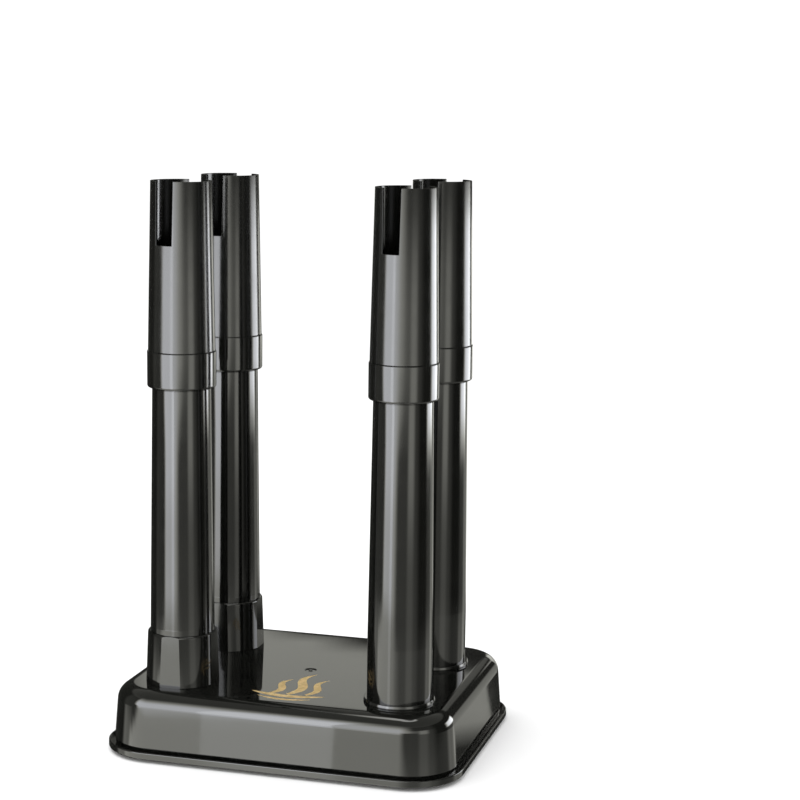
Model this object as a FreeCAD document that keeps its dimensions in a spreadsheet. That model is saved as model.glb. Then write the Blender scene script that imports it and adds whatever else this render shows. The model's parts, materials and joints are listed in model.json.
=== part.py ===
import FreeCAD, Part
import math
import os
import Sketcher
from FreeCAD import Placement, Rotation, Vector

# Convection boot dryer: a heated base with four ports, and on each port a stack of a lower
# tube, a turning coupling and a pull-off upper tube. Millimetres. The origin is the middle
# of the footprint on the floor, +Z is up, -Y is the front and +X is the right-hand side.

doc = FreeCAD.newDocument("boot_dryer")
sheet = doc.addObject("Spreadsheet::Sheet", "Sizes")


class Size:
    """A number together with the spreadsheet expression that it comes from."""

    def __init__(self, value, text):
        self.value = value
        self.text = text

    @staticmethod
    def of(other):
        return other if isinstance(other, Size) else Size(float(other), f"({float(other)!r})")

    def __add__(self, other):
        other = Size.of(other)
        return Size(self.value + other.value, f"({self.text} + {other.text})")

    def __sub__(self, other):
        other = Size.of(other)
        return Size(self.value - other.value, f"({self.text} - {other.text})")

    def __mul__(self, factor):
        return Size(self.value * factor, f"({self.text} * ({float(factor)!r}))")

    def __neg__(self):
        return self * -1

    def __radd__(self, other):
        return Size.of(other) + self

    def __rsub__(self, other):
        return Size.of(other) - self


def cell(alias, value):
    """Put one driving dimension in the next row of the sheet."""
    cell.row += 1
    sheet.set(f"A{cell.row}", alias)
    sheet.set(f"B{cell.row}", str(value))
    sheet.setAlias(f"B{cell.row}", alias)
    return Size(float(value), f"Sizes.{alias}")


cell.row = 0

# Base housing
foot_height = cell("foot_height", 3.0)
rim_half_width = cell("rim_half_width", 154.5)
rim_half_depth = cell("rim_half_depth", 122.5)
rim_corner = cell("rim_corner", 45.5)
rim_height = cell("rim_height", 5.8)
rim_lip = cell("rim_lip", 2.0)
rim_ledge = cell("rim_ledge", 5.3)
groove_height = cell("groove_height", 3.5)
shadow_gap = cell("shadow_gap", 2.0)
pan_floor = cell("pan_floor", 2.5)
shell_wall = cell("shell_wall", 2.8)
deck_height = cell("deck_height", 57.4)
wall_draft = cell("wall_draft", 4.35)
deck_edge_radius = cell("deck_edge_radius", 14.0)
gate_recess_radius = cell("gate_recess_radius", 5.2)
gate_nub_radius = cell("gate_nub_radius", 1.6)
gate_depth = cell("gate_depth", 0.8)
rib_height = cell("rib_height", 4.0)
rib_wall = cell("rib_wall", 1.8)
rib_gap = cell("rib_gap", 0.6)
slot_pitch = cell("slot_pitch", 9.0)
slot_half_width = cell("slot_half_width", 2.0)
slot_half_length = cell("slot_half_length", 16.0)

# Where the four stacks stand
port_half_across = cell("port_half_across", 95.6)
port_half_along = cell("port_half_along", 57.3)
port_row_shift = cell("port_row_shift", -7.3)

# Ports and the joints between tubes
fit_gap = cell("fit_gap", 0.3)
socket_wall = cell("socket_wall", 2.0)
socket_length = cell("socket_length", 26.0)
tube_wall = cell("tube_wall", 2.2)
port_spigot_radius = cell("port_spigot_radius", 25.6)
port_spigot_length = cell("port_spigot_length", 22.0)

# Lower tube, heights counted from the deck
foot_band_radius = cell("foot_band_radius", 27.0)
foot_band_height = cell("foot_band_height", 48.9)
lower_top_radius = cell("lower_top_radius", 24.6)
lower_spigot_radius = cell("lower_spigot_radius", 24.4)
lower_spigot_length = cell("lower_spigot_length", 16.4)

# Coupling and upper tube
coupling_radius = cell("coupling_radius", 28.6)
coupling_start = cell("coupling_start", 251.6)
coupling_length = cell("coupling_length", 30.2)
coupling_web = cell("coupling_web", 2.0)
seam_gap = cell("seam_gap", 0.5)
upper_spigot_radius = cell("upper_spigot_radius", 25.8)
upper_foot_radius = cell("upper_foot_radius", 27.86)
upper_top_radius = cell("upper_top_radius", 25.2)
upper_top = cell("upper_top", 422.0)
notch_floor = cell("notch_floor", 370.0)
notch_half_width = cell("notch_half_width", 7.6)
notch_flare = cell("notch_flare", 0.6)
notch_turn = cell("notch_turn", -13.0)

# Faceted collars on the left ports, plain shoulder rings on the right tubes
collar_foot_radius = cell("collar_foot_radius", 30.8)
collar_top_radius = cell("collar_top_radius", 29.2)
collar_height = cell("collar_height", 43.9)
collar_facet_foot = cell("collar_facet_foot", 29.4)
collar_facet_top = cell("collar_facet_top", 28.2)
stake_circle = cell("stake_circle", 29.05)
stake_radius = cell("stake_radius", 1.1)
ring_radius = cell("ring_radius", 29.7)
ring_height = cell("ring_height", 3.2)

# Screws, feet and the gland in the back wall
boss_radius = cell("boss_radius", 4.5)
pan_boss_radius = cell("pan_boss_radius", 6.5)
screw_head_radius = cell("screw_head_radius", 3.8)
screw_shank_radius = cell("screw_shank_radius", 1.45)
foot_pad_radius = cell("foot_pad_radius", 13.0)
foot_stem_radius = cell("foot_stem_radius", 3.9)
pan_screw_sink = cell("pan_screw_sink", 5.0)
pan_screw_bite = cell("pan_screw_bite", 16.0)
gland_height = cell("gland_height", 24.0)
gland_neck_radius = cell("gland_neck_radius", 6.4)
gland_bore_radius = cell("gland_bore_radius", 3.6)
gland_lip_radius = cell("gland_lip_radius", 8.4)
gland_flange_radius = cell("gland_flange_radius", 9.5)
gland_flange_height = cell("gland_flange_height", 3.2)
gland_tail = cell("gland_tail", 6.0)
clamp_y = cell("clamp_y", 97.0)
clamp_post_x = cell("clamp_post_x", 11.0)
clamp_post_height = cell("clamp_post_height", 19.0)
clamp_sheet = cell("clamp_sheet", 2.2)
clamp_arch = cell("clamp_arch", 4.6)

# Heater on its tray
tray_height = cell("tray_height", 14.0)
tray_sheet = cell("tray_sheet", 1.0)
tray_half_width = cell("tray_half_width", 119.0)
tray_half_depth = cell("tray_half_depth", 88.0)
tray_edge_height = cell("tray_edge_height", 6.0)
tray_hole_radius = cell("tray_hole_radius", 22.0)
element_radius = cell("element_radius", 3.25)
element_height = cell("element_height", 25.0)
element_end_x = cell("element_end_x", 26.0)
element_clip_x = cell("element_clip_x", 52.0)
standoff_radius = cell("standoff_radius", 6.5)
clip_sheet = cell("clip_sheet", 0.8)
clip_foot_reach = cell("clip_foot_reach", 11.5)
clip_width = cell("clip_width", 8.0)
clip_hole_radius = cell("clip_hole_radius", 1.3)
element_bend = cell("element_bend", 14.0)
element_ends_y = cell("element_ends_y", 76.0)
bead_radius = cell("bead_radius", 4.4)
pin_radius = cell("pin_radius", 1.5)
pin_ends_y = cell("pin_ends_y", 90.0)

# Thermal cut-out, terminal block and leads
cutoff_y = cell("cutoff_y", -44.0)
cutoff_blade_x = cell("cutoff_blade_x", 4.5)
cutoff_blade_height = cell("cutoff_blade_height", 14.0)
block_x = cell("block_x", -60.0)
block_y = cell("block_y", 98.0)
block_pitch = cell("block_pitch", 12.0)
block_height = cell("block_height", 16.0)
block_entry_y = cell("block_entry_y", 94.0)
block_entry_depth = cell("block_entry_depth", 7.0)
lead_radius = cell("lead_radius", 1.35)
lead_level = cell("lead_level", 35.0)

doc.recompute()

# Levels and outlines worked out from the cells
rim_top = foot_height + rim_height
shell_foot = rim_top + shadow_gap
floor_top = foot_height + pan_floor
shell_half_width = rim_half_width - rim_ledge
shell_half_depth = rim_half_depth - rim_ledge
shell_corner = rim_corner - rim_ledge
port_radius = port_spigot_radius + fit_gap
socket_radius = port_radius + socket_wall
tray_top = tray_height + tray_sheet
duct_radius = lower_spigot_radius - tube_wall
coupling_top = coupling_start + coupling_length
coupling_ledge = coupling_start + lower_spigot_length
upper_seat = coupling_ledge + coupling_web

port_y = {"front": port_row_shift - port_half_along, "rear": port_row_shift + port_half_along}
port_x = {"left": -port_half_across, "right": port_half_across}
ports = {f"{row}_{side}": (port_x[side], port_y[row])
         for side in ("left", "right") for row in ("front", "rear")}
deck_screws = [(x, y) for x in (-port_half_across, port_half_across)
               for y in (Size.of(-102.5), Size.of(98.0))]
deck_screws += [(Size.of(-128.0), port_row_shift), (Size.of(128.0), port_row_shift)]
foot_places = {f"{row}_{side}": (Size.of(sx * 126.0), Size.of(sy * 94.0))
               for row, sy in (("front", -1), ("rear", 1))
               for side, sx in (("left", -1), ("right", 1))}
tray_screws = [(Size.of(x), Size.of(y)) for x in (-30.0, 30.0) for y in (-84.0, 70.0)]
clamp_posts = [(-clamp_post_x, clamp_y), (clamp_post_x, clamp_y)]
element_supports = [(x, y) for x in (-element_clip_x, element_clip_x) for y in port_y.values()]
clip_screws = [(x, y + reach) for x, y in element_supports
               for reach in (-clip_foot_reach, clip_foot_reach)]
block_ways = [block_x - block_pitch, block_x, block_x + block_pitch]


# ---------------------------------------------------------------- helpers

def new_body(label):
    body = doc.addObject("PartDesign::Body", label)
    body.Label = label
    body.AllowCompound = True
    return body


def place(body, x=None, y=None, z=None):
    """Tie a body's position to the sheet."""
    for axis, size in (("x", x), ("y", y), ("z", z)):
        if size is not None:
            body.setExpression(f"Placement.Base.{axis}", Size.of(size).text)


def sketch_on(body, role, offset=None):
    """A sketch on one of the body's own origin planes, moved along the plane's normal."""
    plane = next(f for f in body.Origin.OriginFeatures if f.Role == role)
    sketch = body.newObject("Sketcher::SketchObject", f"{body.Name}_sketch")
    sketch.AttachmentSupport = [(plane, "")]
    sketch.MapMode = "FlatFace"
    if offset is not None:
        sketch.setExpression("AttachmentOffset.Base.z", Size.of(offset).text)
    return sketch


def fix_point(sketch, geometry, point, x, y):
    """Hold one point of the sketch at x, y."""
    for kind, axis, size in (("DistanceX", -2, Size.of(x)), ("DistanceY", -1, Size.of(y))):
        if abs(size.value) < 1e-9:
            sketch.addConstraint(Sketcher.Constraint("PointOnObject", geometry, point, axis))
        else:
            index = sketch.addConstraint(
                Sketcher.Constraint(kind, -1, 1, geometry, point, size.value))
            sketch.setExpression(f"Constraints[{index}]", size.text)


def add_polygon(sketch, points):
    """A closed outline of straight lines through points given as sizes."""
    sizes = [(Size.of(x), Size.of(y)) for x, y in points]
    corners = [Vector(x.value, y.value, 0) for x, y in sizes]
    first = sketch.GeometryCount
    count = len(corners)
    for i in range(count):
        sketch.addGeometry(Part.LineSegment(corners[i], corners[(i + 1) % count]))
    for i in range(count):
        after = first + (i + 1) % count
        sketch.addConstraint(Sketcher.Constraint("Coincident", first + i, 2, after, 1))
    for i, (x, y) in enumerate(sizes):
        fix_point(sketch, first + i, 1, x, y)


def add_circle(sketch, x, y, radius):
    x, y, radius = Size.of(x), Size.of(y), Size.of(radius)
    centre = Vector(x.value, y.value, 0)
    circle = sketch.addGeometry(Part.Circle(centre, Vector(0, 0, 1), radius.value))
    fix_point(sketch, circle, 3, x, y)
    index = sketch.addConstraint(Sketcher.Constraint("Radius", circle, radius.value))
    sketch.setExpression(f"Constraints[{index}]", radius.text)


def add_rectangle(sketch, x, y, half_x, half_y):
    """A rectangle about the point x, y."""
    add_polygon(sketch, [(x - half_x, y - half_y), (x + half_x, y - half_y),
                         (x + half_x, y + half_y), (x - half_x, y + half_y)])


def add_round_rectangle(sketch, half_x, half_y, radius):
    """A rectangle about the origin with round corners."""
    inner_x = half_x.value - radius.value
    inner_y = half_y.value - radius.value
    arcs = []
    for turn, (sx, sy) in enumerate(((1, 1), (-1, 1), (-1, -1), (1, -1))):
        circle = Part.Circle(Vector(sx * inner_x, sy * inner_y, 0), Vector(0, 0, 1), radius.value)
        start = turn * math.pi / 2
        arcs.append(sketch.addGeometry(Part.ArcOfCircle(circle, start, start + math.pi / 2)))
    ends = [(0, half_y), (1, half_x), (2, half_y), (3, half_x)]
    for turn, (_, reach) in enumerate(ends):
        this_arc = sketch.Geometry[arcs[turn]]
        next_arc = sketch.Geometry[arcs[(turn + 1) % 4]]
        line = sketch.addGeometry(Part.LineSegment(this_arc.EndPoint, next_arc.StartPoint))
        sketch.addConstraint(Sketcher.Constraint("Tangent", arcs[turn], 2, line, 1))
        sketch.addConstraint(Sketcher.Constraint("Tangent", line, 2, arcs[(turn + 1) % 4], 1))
        kind = "Horizontal" if turn % 2 == 0 else "Vertical"
        sketch.addConstraint(Sketcher.Constraint(kind, line))
        side = reach if turn in (0, 3) else -reach
        distance = "DistanceY" if turn % 2 == 0 else "DistanceX"
        index = sketch.addConstraint(Sketcher.Constraint(distance, -1, 1, line, 1, side.value))
        sketch.setExpression(f"Constraints[{index}]", side.text)
    index = sketch.addConstraint(Sketcher.Constraint("Radius", arcs[0], radius.value))
    sketch.setExpression(f"Constraints[{index}]", radius.text)
    for arc in arcs[1:]:
        sketch.addConstraint(Sketcher.Constraint("Equal", arcs[0], arc))


def pad(body, sketch, length, taper=None, both_ways=False):
    """Pad along the sketch's normal, or half to each side of it."""
    feature = body.newObject("PartDesign::Pad", f"{body.Name}_pad")
    feature.Profile = sketch
    feature.setExpression("Length", Size.of(length).text)
    feature.Midplane = both_ways
    if taper is not None:
        feature.setExpression("TaperAngle", Size.of(taper).text)
    return feature


def cut(body, sketch, depth, along_normal=True, both_ways=False):
    """Cut from the sketch's plane, and stop if nothing was removed."""
    doc.recompute()
    before = body.Shape.Volume
    feature = body.newObject("PartDesign::Pocket", f"{body.Name}_pocket")
    feature.Profile = sketch
    feature.setExpression("Length", Size.of(depth).text)
    feature.Reversed = along_normal
    feature.Midplane = both_ways
    doc.recompute()
    if not body.Shape.Volume < before - 0.1:
        raise RuntimeError(f"{body.Label}: a cut removed nothing")
    return feature


def turn(body, points):
    """Revolve an outline of radius and height about the body's Z axis."""
    sketch = sketch_on(body, "XZ_Plane")
    add_polygon(sketch, points)
    feature = body.newObject("PartDesign::Revolution", f"{body.Name}_turned")
    feature.Profile = sketch
    feature.ReferenceAxis = (sketch, ["V_Axis"])
    feature.Angle = 360.0
    return feature


def around(body, feature, count):
    """Repeat a feature evenly about the body's Z axis."""
    axis = next(f for f in body.Origin.OriginFeatures if f.Role == "Z_Axis")
    pattern = body.newObject("PartDesign::PolarPattern", f"{body.Name}_pattern")
    pattern.Originals = [feature]
    pattern.Axis = (axis, [""])
    pattern.Angle = 360.0
    pattern.Occurrences = count
    body.Tip = pattern
    return pattern


def round_edges(body, feature, radius, wanted):
    """Fillet the edges of the feature for which wanted(edge) holds."""
    doc.recompute()
    names = [f"Edge{i + 1}" for i, edge in enumerate(feature.Shape.Edges) if wanted(edge)]
    if not names:
        raise RuntimeError(f"{body.Label}: no edge to round")
    fillet = body.newObject("PartDesign::Fillet", f"{body.Name}_fillet")
    fillet.Base = (feature, names)
    fillet.setExpression("Radius", Size.of(radius).text)
    return fillet


def ring_at(height, radius):
    """A test for full circles at one height and radius."""
    def wanted(edge):
        curve = edge.Curve
        level = isinstance(curve, Part.Circle) and abs(curve.Center.z - height.value) < 0.01
        return level and abs(curve.Radius - radius.value) < 0.01
    return wanted


def bent_path(points, radius):
    """Straight runs joined by tangent arcs, through the given corner points."""
    corners = [Vector(*p) for p in points]
    edges = []
    start = corners[0]
    for before, corner, after in zip(corners, corners[1:], corners[2:]):
        back = (before - corner).normalize()
        ahead = (after - corner).normalize()
        half_turn = (math.pi - back.getAngle(ahead)) / 2
        reach = radius * math.tan(half_turn)
        entry = corner + back * reach
        leave = corner + ahead * reach
        centre = corner + (back + ahead).normalize() * (radius / math.cos(half_turn))
        middle = centre + (corner - centre).normalize() * radius
        edges.append(Part.LineSegment(start, entry).toShape())
        edges.append(Part.Arc(entry, middle, leave).toShape())
        start = leave
    edges.append(Part.LineSegment(start, corners[-1]).toShape())
    return Part.Wire(edges)


def bent_rod(label, points, bend, radius):
    """A round rod swept along a bent path."""
    path = bent_path([[Size.of(c).value for c in p] for p in points], bend)
    first = path.Edges[0]
    section = Part.Wire(Part.Circle(first.Vertexes[0].Point, first.tangentAt(0), radius).toShape())
    rod = path.makePipeShell([section], True, True)
    expected = math.pi * radius ** 2 * path.Length
    print(f"{label}: length {path.Length:.1f}, volume ratio {rod.Volume / expected:.4f}")
    feature = doc.addObject("Part::Feature", label)
    feature.Label = label
    feature.Shape = rod
    feature.Placement = Placement(Vector(0, 0, 0), Rotation())
    return feature


# ---------------------------------------------------------------- base

def make_shell_block(body, inset, top):
    """A drafted block with a round top edge, inset all round from the housing's outside."""
    outline = sketch_on(body, "XY_Plane", shell_foot)
    add_round_rectangle(outline, shell_half_width - inset, shell_half_depth - inset,
                        shell_corner - inset)
    block = pad(body, outline, top - shell_foot, taper=-wall_draft)
    round_edges(body, block, deck_edge_radius - inset,
                lambda e: all(abs(v.Z - top.value) < 0.01 for v in e.Vertexes))


def make_base_shell():
    """Moulded housing: drafted walls, round deck edge, four port holes and screw bosses."""
    cavity = new_body("shell_cavity")
    deck_under = deck_height - shell_wall
    make_shell_block(cavity, shell_wall, deck_under)
    body = new_body("base_shell")
    make_shell_block(body, Size.of(0), deck_height)
    doc.recompute()
    hollow = body.newObject("PartDesign::Boolean", "base_shell_hollow")
    hollow.Type = "Cut"
    hollow.addObjects([cavity])
    doc.recompute()

    into_deck = 0.5
    bosses = sketch_on(body, "XY_Plane", shell_foot)
    for x, y in deck_screws:
        add_circle(bosses, x, y, boss_radius)
    pad(body, bosses, deck_under - shell_foot + into_deck)

    holes = sketch_on(body, "XY_Plane", deck_under - 1)
    for x, y in ports.values():
        add_circle(holes, x, y, port_radius)
    cut(body, holes, shell_wall + 2)
    pilots = sketch_on(body, "XY_Plane", shell_foot)
    for x, y in deck_screws:
        add_circle(pilots, x, y, screw_shank_radius + 0.05)
    cut(body, pilots, pan_screw_bite)
    stakes = sketch_on(body, "XY_Plane", deck_under - 0.5)
    for name, (x, y) in ports.items():
        if name.endswith("left"):
            for dx, dy in stake_offsets():
                add_circle(stakes, x + dx, y + dy, stake_radius + 0.05)
    cut(body, stakes, shell_wall + 1)
    gland = sketch_on(body, "XZ_Plane", -rim_half_depth)
    add_circle(gland, 0, gland_height, gland_neck_radius + fit_gap)
    cut(body, gland, 20)
    gate = sketch_on(body, "XY_Plane", deck_height - gate_depth)
    add_circle(gate, 0, port_row_shift, gate_recess_radius)
    add_circle(gate, 0, port_row_shift, gate_nub_radius)
    cut(body, gate, gate_depth + 1)


def make_port_socket(name, x, y):
    """Sleeve cemented under a port hole; it guides the spigot of the lower tube."""
    body = new_body(f"port_socket_{name}")
    turn(body, [(port_radius, -socket_length), (socket_radius, -socket_length),
                (socket_radius, -shell_wall), (port_radius, -shell_wall)])
    place(body, x, y, deck_height)


def stake_offsets():
    """The three stake places of a collar, from its axis."""
    offsets = []
    for i in range(3):
        angle = math.radians(45.0 + 120.0 * i)
        offsets.append((stake_circle * math.cos(angle), stake_circle * math.sin(angle)))
    return offsets


def make_bottom_pan():
    """Tray under the housing: rim with a lip and a groove, seat for the shell, air slots."""
    body = new_body("bottom_pan")

    def ring(outer, inner, top):
        """A wall that follows the rim, between two insets, from the underside up to top."""
        sketch = sketch_on(body, "XY_Plane", foot_height)
        for inset in (outer, inner):
            add_round_rectangle(sketch, rim_half_width - inset, rim_half_depth - inset,
                                rim_corner - inset)
        pad(body, sketch, top - foot_height)

    floor = sketch_on(body, "XY_Plane", foot_height)
    add_round_rectangle(floor, rim_half_width, rim_half_depth, rim_corner)
    pad(body, floor, pan_floor)
    overlap = Size.of(1.0)
    seat_outer = rim_ledge + 1.0
    rib_outer = rim_ledge + shell_wall + rib_gap
    rib_inner = rib_outer + rib_wall
    ring(Size.of(0), rim_lip, rim_top)
    ring(rim_lip - overlap, seat_outer + overlap, foot_height + groove_height)
    ring(seat_outer, rib_inner, shell_foot)
    ring(rib_outer, rib_inner, shell_foot + rib_height)

    screw_pads = sketch_on(body, "XY_Plane", foot_height)
    for x, y in deck_screws:
        add_circle(screw_pads, x, y, pan_boss_radius)
    pad(body, screw_pads, shell_foot - foot_height)
    tray_posts = sketch_on(body, "XY_Plane", foot_height)
    for x, y in tray_screws:
        add_circle(tray_posts, x, y, boss_radius)
    pad(body, tray_posts, tray_height - foot_height)
    posts = sketch_on(body, "XY_Plane", foot_height)
    for x, y in clamp_posts:
        add_circle(posts, x, y, boss_radius)
    pad(body, posts, clamp_post_height)

    counterbores = sketch_on(body, "XY_Plane", foot_height)
    for x, y in deck_screws:
        add_circle(counterbores, x, y, screw_head_radius + 0.4)
    cut(body, counterbores, pan_screw_sink)
    through = sketch_on(body, "XY_Plane", foot_height - 1)
    for x, y in deck_screws:
        add_circle(through, x, y, screw_shank_radius + 0.3)
    for x, y in foot_places.values():
        add_circle(through, x, y, foot_stem_radius + 0.1)
    cut(body, through, 20)
    slots = sketch_on(body, "XY_Plane", foot_height - 1)
    for x, y in ports.values():
        for step in range(-2, 3):
            add_rectangle(slots, x + slot_pitch * step, y, slot_half_width, slot_half_length)
    cut(body, slots, pan_floor + 2)
    pilots = sketch_on(body, "XY_Plane", foot_height + 6.0)
    for x, y in tray_screws + clamp_posts:
        add_circle(pilots, x, y, screw_shank_radius)
    cut(body, pilots, 20)


def make_feet():
    """Push-in rubber feet: a tread pad, a stem through the pan and a retaining head."""
    head_radius = foot_stem_radius + 1.3
    head_top = floor_top + 3.5
    tread_radius = foot_pad_radius - 1.0
    for name, (x, y) in foot_places.items():
        body = new_body(f"foot_{name}")
        turned = turn(body, [
            (0, 0), (tread_radius, 0), (foot_pad_radius, foot_height - 1.5),
            (foot_pad_radius, foot_height), (foot_stem_radius, foot_height),
            (foot_stem_radius, floor_top), (head_radius, floor_top + 0.4),
            (foot_stem_radius - 0.9, head_top), (0, head_top)])
        round_edges(body, turned, 0.6, ring_at(Size.of(0), tread_radius))
        place(body, x, y)


def make_screws(label, places, seat, head_radius, head_height, shank_radius, reach, upward):
    """Pan-head screws as one group: heads on the seat level, shanks away from them."""
    body = new_body(label)
    slot_depth = head_height * 0.55
    head_foot = seat - head_height if upward else seat
    heads = sketch_on(body, "XY_Plane", head_foot)
    for x, y in places:
        add_circle(heads, x, y, head_radius)
    pad(body, heads, head_height)
    shanks = sketch_on(body, "XY_Plane", seat if upward else seat - reach)
    for x, y in places:
        add_circle(shanks, x, y, shank_radius)
    pad(body, shanks, reach)
    for half_x, half_y in ((0.62, 0.16), (0.16, 0.62)):
        driver = sketch_on(body, "XY_Plane", head_foot if upward else seat + head_height)
        for x, y in places:
            add_rectangle(driver, x, y, head_radius * half_x, head_radius * half_y)
        cut(body, driver, slot_depth, along_normal=upward)


# ---------------------------------------------------------------- heater

def make_heat_tray():
    """Aluminium tray with turned-up edges and a hole under each port."""
    body = new_body("heat_tray")
    centre_y = port_row_shift
    plate = sketch_on(body, "XY_Plane", tray_height)
    add_rectangle(plate, Size.of(0), centre_y, tray_half_width, tray_half_depth)
    pad(body, plate, tray_sheet)
    edges = sketch_on(body, "XY_Plane", tray_height)
    add_rectangle(edges, Size.of(0), centre_y, tray_half_width, tray_half_depth)
    add_rectangle(edges, Size.of(0), centre_y, tray_half_width - tray_sheet,
                  tray_half_depth - tray_sheet)
    pad(body, edges, tray_edge_height)
    holes = sketch_on(body, "XY_Plane", tray_height - 1)
    for x, y in ports.values():
        add_circle(holes, x, y, tray_hole_radius)
    for x, y in tray_screws:
        add_circle(holes, x, y, screw_shank_radius + 0.2)
    for x, y in clip_screws:
        add_circle(holes, x, y, clip_hole_radius)
    cut(body, holes, tray_sheet + 2)


def make_heater_element():
    """One tubular element that passes under all four ports, with both ends at the back."""
    left, right = -port_half_across, port_half_across
    front, rear = port_y["front"], port_y["rear"]
    level = element_height
    points = [(-element_end_x, element_ends_y, level), (-element_end_x, rear, level),
              (left, rear, level), (left, front, level), (right, front, level),
              (right, rear, level), (element_end_x, rear, level),
              (element_end_x, element_ends_y, level)]
    bent_rod("heater_element", points, element_bend.value, element_radius.value)


def make_element_terminals():
    """Ceramic beads and cold pins on both ends of the element."""
    body = new_body("element_terminals")
    bead_length = 5.0
    beads = sketch_on(body, "XZ_Plane", -(element_ends_y + bead_length))
    pins = sketch_on(body, "XZ_Plane", -pin_ends_y)
    for x in (-element_end_x, element_end_x):
        add_circle(beads, x, element_height, bead_radius)
        add_circle(pins, x, element_height, pin_radius)
    pad(body, beads, bead_length)
    pad(body, pins, pin_ends_y - element_ends_y - bead_length + 0.5)


def make_standoffs():
    """Ceramic posts with a channel that the element lies in."""
    body = new_body("element_standoffs")
    posts = sketch_on(body, "XY_Plane", tray_top)
    for x, y in element_supports:
        add_circle(posts, x, y, standoff_radius)
    pad(body, posts, element_height - tray_top)
    channels = sketch_on(body, "YZ_Plane")
    for y in port_y.values():
        add_circle(channels, y, element_height, element_radius + 0.05)
    cut(body, channels, element_clip_x * 3, both_ways=True)


def make_clips():
    """Sheet-steel saddles that hold the element down on its posts."""
    body = new_body("element_clips")
    leg_in = standoff_radius + fit_gap
    leg_out = leg_in + clip_sheet
    foot_end = clip_foot_reach + 3.0
    over = element_height + element_radius + 0.2
    for side in (-1, 1):
        profile = sketch_on(body, "YZ_Plane", element_clip_x * side)
        for y in port_y.values():
            add_polygon(profile, [
                (y - foot_end, tray_top), (y - leg_in, tray_top), (y - leg_in, over),
                (y + leg_in, over), (y + leg_in, tray_top), (y + foot_end, tray_top),
                (y + foot_end, tray_top + clip_sheet), (y + leg_out, tray_top + clip_sheet),
                (y + leg_out, over + clip_sheet), (y - leg_out, over + clip_sheet),
                (y - leg_out, tray_top + clip_sheet), (y - foot_end, tray_top + clip_sheet)])
        pad(body, profile, clip_width, both_ways=True)
    holes = sketch_on(body, "XY_Plane", tray_top - 0.5)
    for x, y in clip_screws:
        add_circle(holes, x, y, clip_hole_radius)
    cut(body, holes, clip_sheet + 1)


def make_thermal_cutoff():
    """Disc thermostat: cap, flanged base and two blades."""
    body = new_body("thermal_cutoff")
    flange_sheet, cap_height, base_height = 0.8, 3.2, 2.6
    cap_radius, base_radius = 8.2, 7.2
    flange = sketch_on(body, "XY_Plane", tray_top)
    add_rectangle(flange, Size.of(0), cutoff_y, Size.of(15.0), Size.of(5.0))
    pad(body, flange, flange_sheet)
    cap = sketch_on(body, "XY_Plane", tray_top + flange_sheet)
    add_circle(cap, 0, cutoff_y, cap_radius)
    pad(body, cap, cap_height)
    cap_top = tray_top + flange_sheet + cap_height
    base = sketch_on(body, "XY_Plane", cap_top)
    add_circle(base, 0, cutoff_y, base_radius)
    pad(body, base, base_height)
    blade_foot = cap_top + base_height - 0.5
    blades = sketch_on(body, "XY_Plane", blade_foot)
    for x in (-cutoff_blade_x, cutoff_blade_x):
        add_rectangle(blades, x, cutoff_y, Size.of(0.4), Size.of(2.4))
    pad(body, blades, tray_top + cutoff_blade_height - blade_foot)


def make_terminal_block():
    """Three-way block on the pan, with a screw well over each way."""
    body = new_body("terminal_block")
    top = floor_top + block_height
    base = sketch_on(body, "XY_Plane", floor_top)
    add_rectangle(base, block_x, block_y, block_pitch * 1.5, Size.of(9.0))
    pad(body, base, block_height)
    wells = sketch_on(body, "XY_Plane", top)
    entries = sketch_on(body, "XY_Plane", top)
    for x in block_ways:
        add_circle(wells, x, block_y + 4.0, 2.6)
        add_circle(entries, x, block_entry_y, lead_radius + 0.25)
    cut(body, wells, 9.0, along_normal=False)
    cut(body, entries, block_entry_depth, along_normal=False)


def make_leads():
    """Insulated leads from the block to the cut-out and the element's ends."""
    entry_floor = floor_top + block_height - block_entry_depth
    high = lead_level
    blade_top = tray_top + cutoff_blade_height
    pin = element_height
    pin_turn_y = pin_ends_y + 8.0
    straight_y = cutoff_y + 28.0
    left_end, right_end = -element_end_x, element_end_x
    left_blade, right_blade = -cutoff_blade_x, cutoff_blade_x
    live_way, _, neutral_way = block_ways
    wide_bend, close_bend = 4.2, 3.8
    radius = lead_radius.value
    bent_rod("lead_live", [(live_way, block_entry_y, entry_floor), (live_way, block_entry_y, high),
                           (live_way, 74.0, high), (-36.0, 30.0, high),
                           (left_blade, straight_y, high), (left_blade, cutoff_y, high),
                           (left_blade, cutoff_y, blade_top)], wide_bend, radius)
    bent_rod("lead_link", [(right_blade, cutoff_y, blade_top), (right_blade, cutoff_y, high),
                           (right_blade, straight_y, high), (16.0, 34.0, high),
                           (right_end, 72.0, high), (right_end, pin_turn_y, high),
                           (right_end, pin_turn_y, pin), (right_end, pin_ends_y, pin)],
             close_bend, radius)
    bent_rod("lead_neutral", [(neutral_way, block_entry_y, entry_floor),
                              (neutral_way, block_entry_y, high), (left_end, pin_turn_y, high),
                              (left_end, pin_turn_y, pin), (left_end, pin_ends_y, pin)],
             close_bend, radius)


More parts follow.
